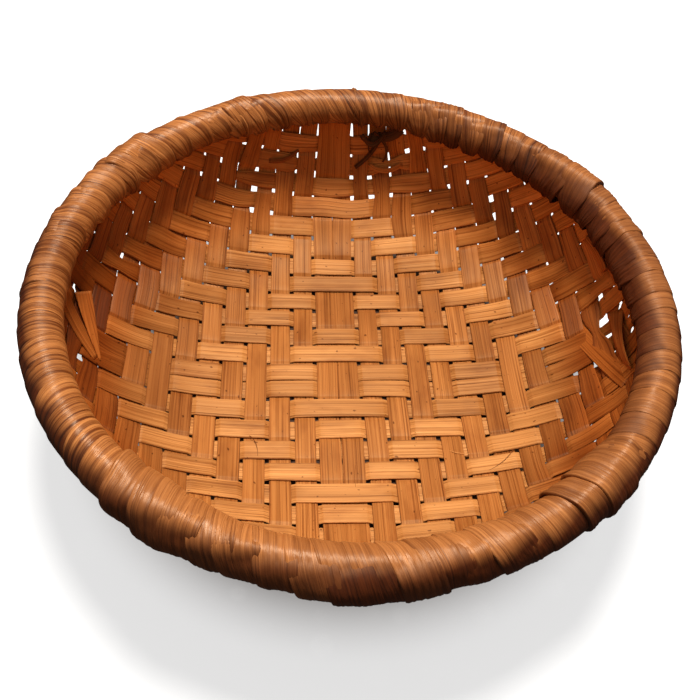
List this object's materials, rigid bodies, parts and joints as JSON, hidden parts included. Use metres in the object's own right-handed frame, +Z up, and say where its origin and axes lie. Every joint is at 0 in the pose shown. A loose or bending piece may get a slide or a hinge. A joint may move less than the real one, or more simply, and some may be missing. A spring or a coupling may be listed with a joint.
{
  "type": "winnowing basket",
  "caption": "Shallow round winnowing basket of flat splints in a diamond twill, with a thick strip-wrapped rim.",
  "frame": {"origin": "centre of the basket's underside, on the surface it stands on", "axes": "+Z up out of the bowl, +Y to the side with the rim tie, the warps run along Y"},
  "size_m": [0.3408, 0.3424, 0.1001],
  "materials": {
    "warp": "satin, aged",
    "weft": "satin, aged",
    "hoop": "matte",
    "wrap": "satin, aged",
    "tie": "matte, dark"
  },
  "bodies": {
    "root": {"warp_01": "warp", "warp_02": "warp", "warp_03": "warp", "warp_04": "warp", "warp_05": "warp", "warp_06": "warp", "warp_07": "warp", "warp_08": "warp", "warp_09": "warp", "warp_10": "warp", "warp_11": "warp", "warp_12": "warp", "warp_13": "warp", "warp_14": "warp", "warp_15": "warp", "warp_16": "warp", "warp_17": "warp", "warp_18": "warp", "warp_19": "warp", "warp_20": "warp", "warp_21": "warp", "warp_22": "warp", "warp_23": "warp", "warp_24": "warp", "warp_25": "warp", "warp_26": "warp", "warp_27": "warp", "weft_01": "weft", "weft_02": "weft", "weft_03": "weft", "weft_04": "weft", "weft_05": "weft", "weft_06": "weft", "weft_07": "weft", "weft_08": "weft", "weft_09": "weft", "weft_10": "weft", "weft_11": "weft", "weft_12": "weft", "weft_13": "weft", "weft_14": "weft", "weft_15": "weft", "weft_16": "weft", "weft_17": "weft", "weft_18": "weft", "weft_19": "weft", "weft_20": "weft", "weft_21": "weft", "weft_22": "weft", "weft_23": "weft", "weft_24": "weft", "weft_25": "weft", "weft_26": "weft", "weft_27": "weft", "hoop_inner": "hoop", "hoop_outer": "hoop", "rim_wrap": "wrap", "rim_tie": "tie"}
  },
  "joints": []
}
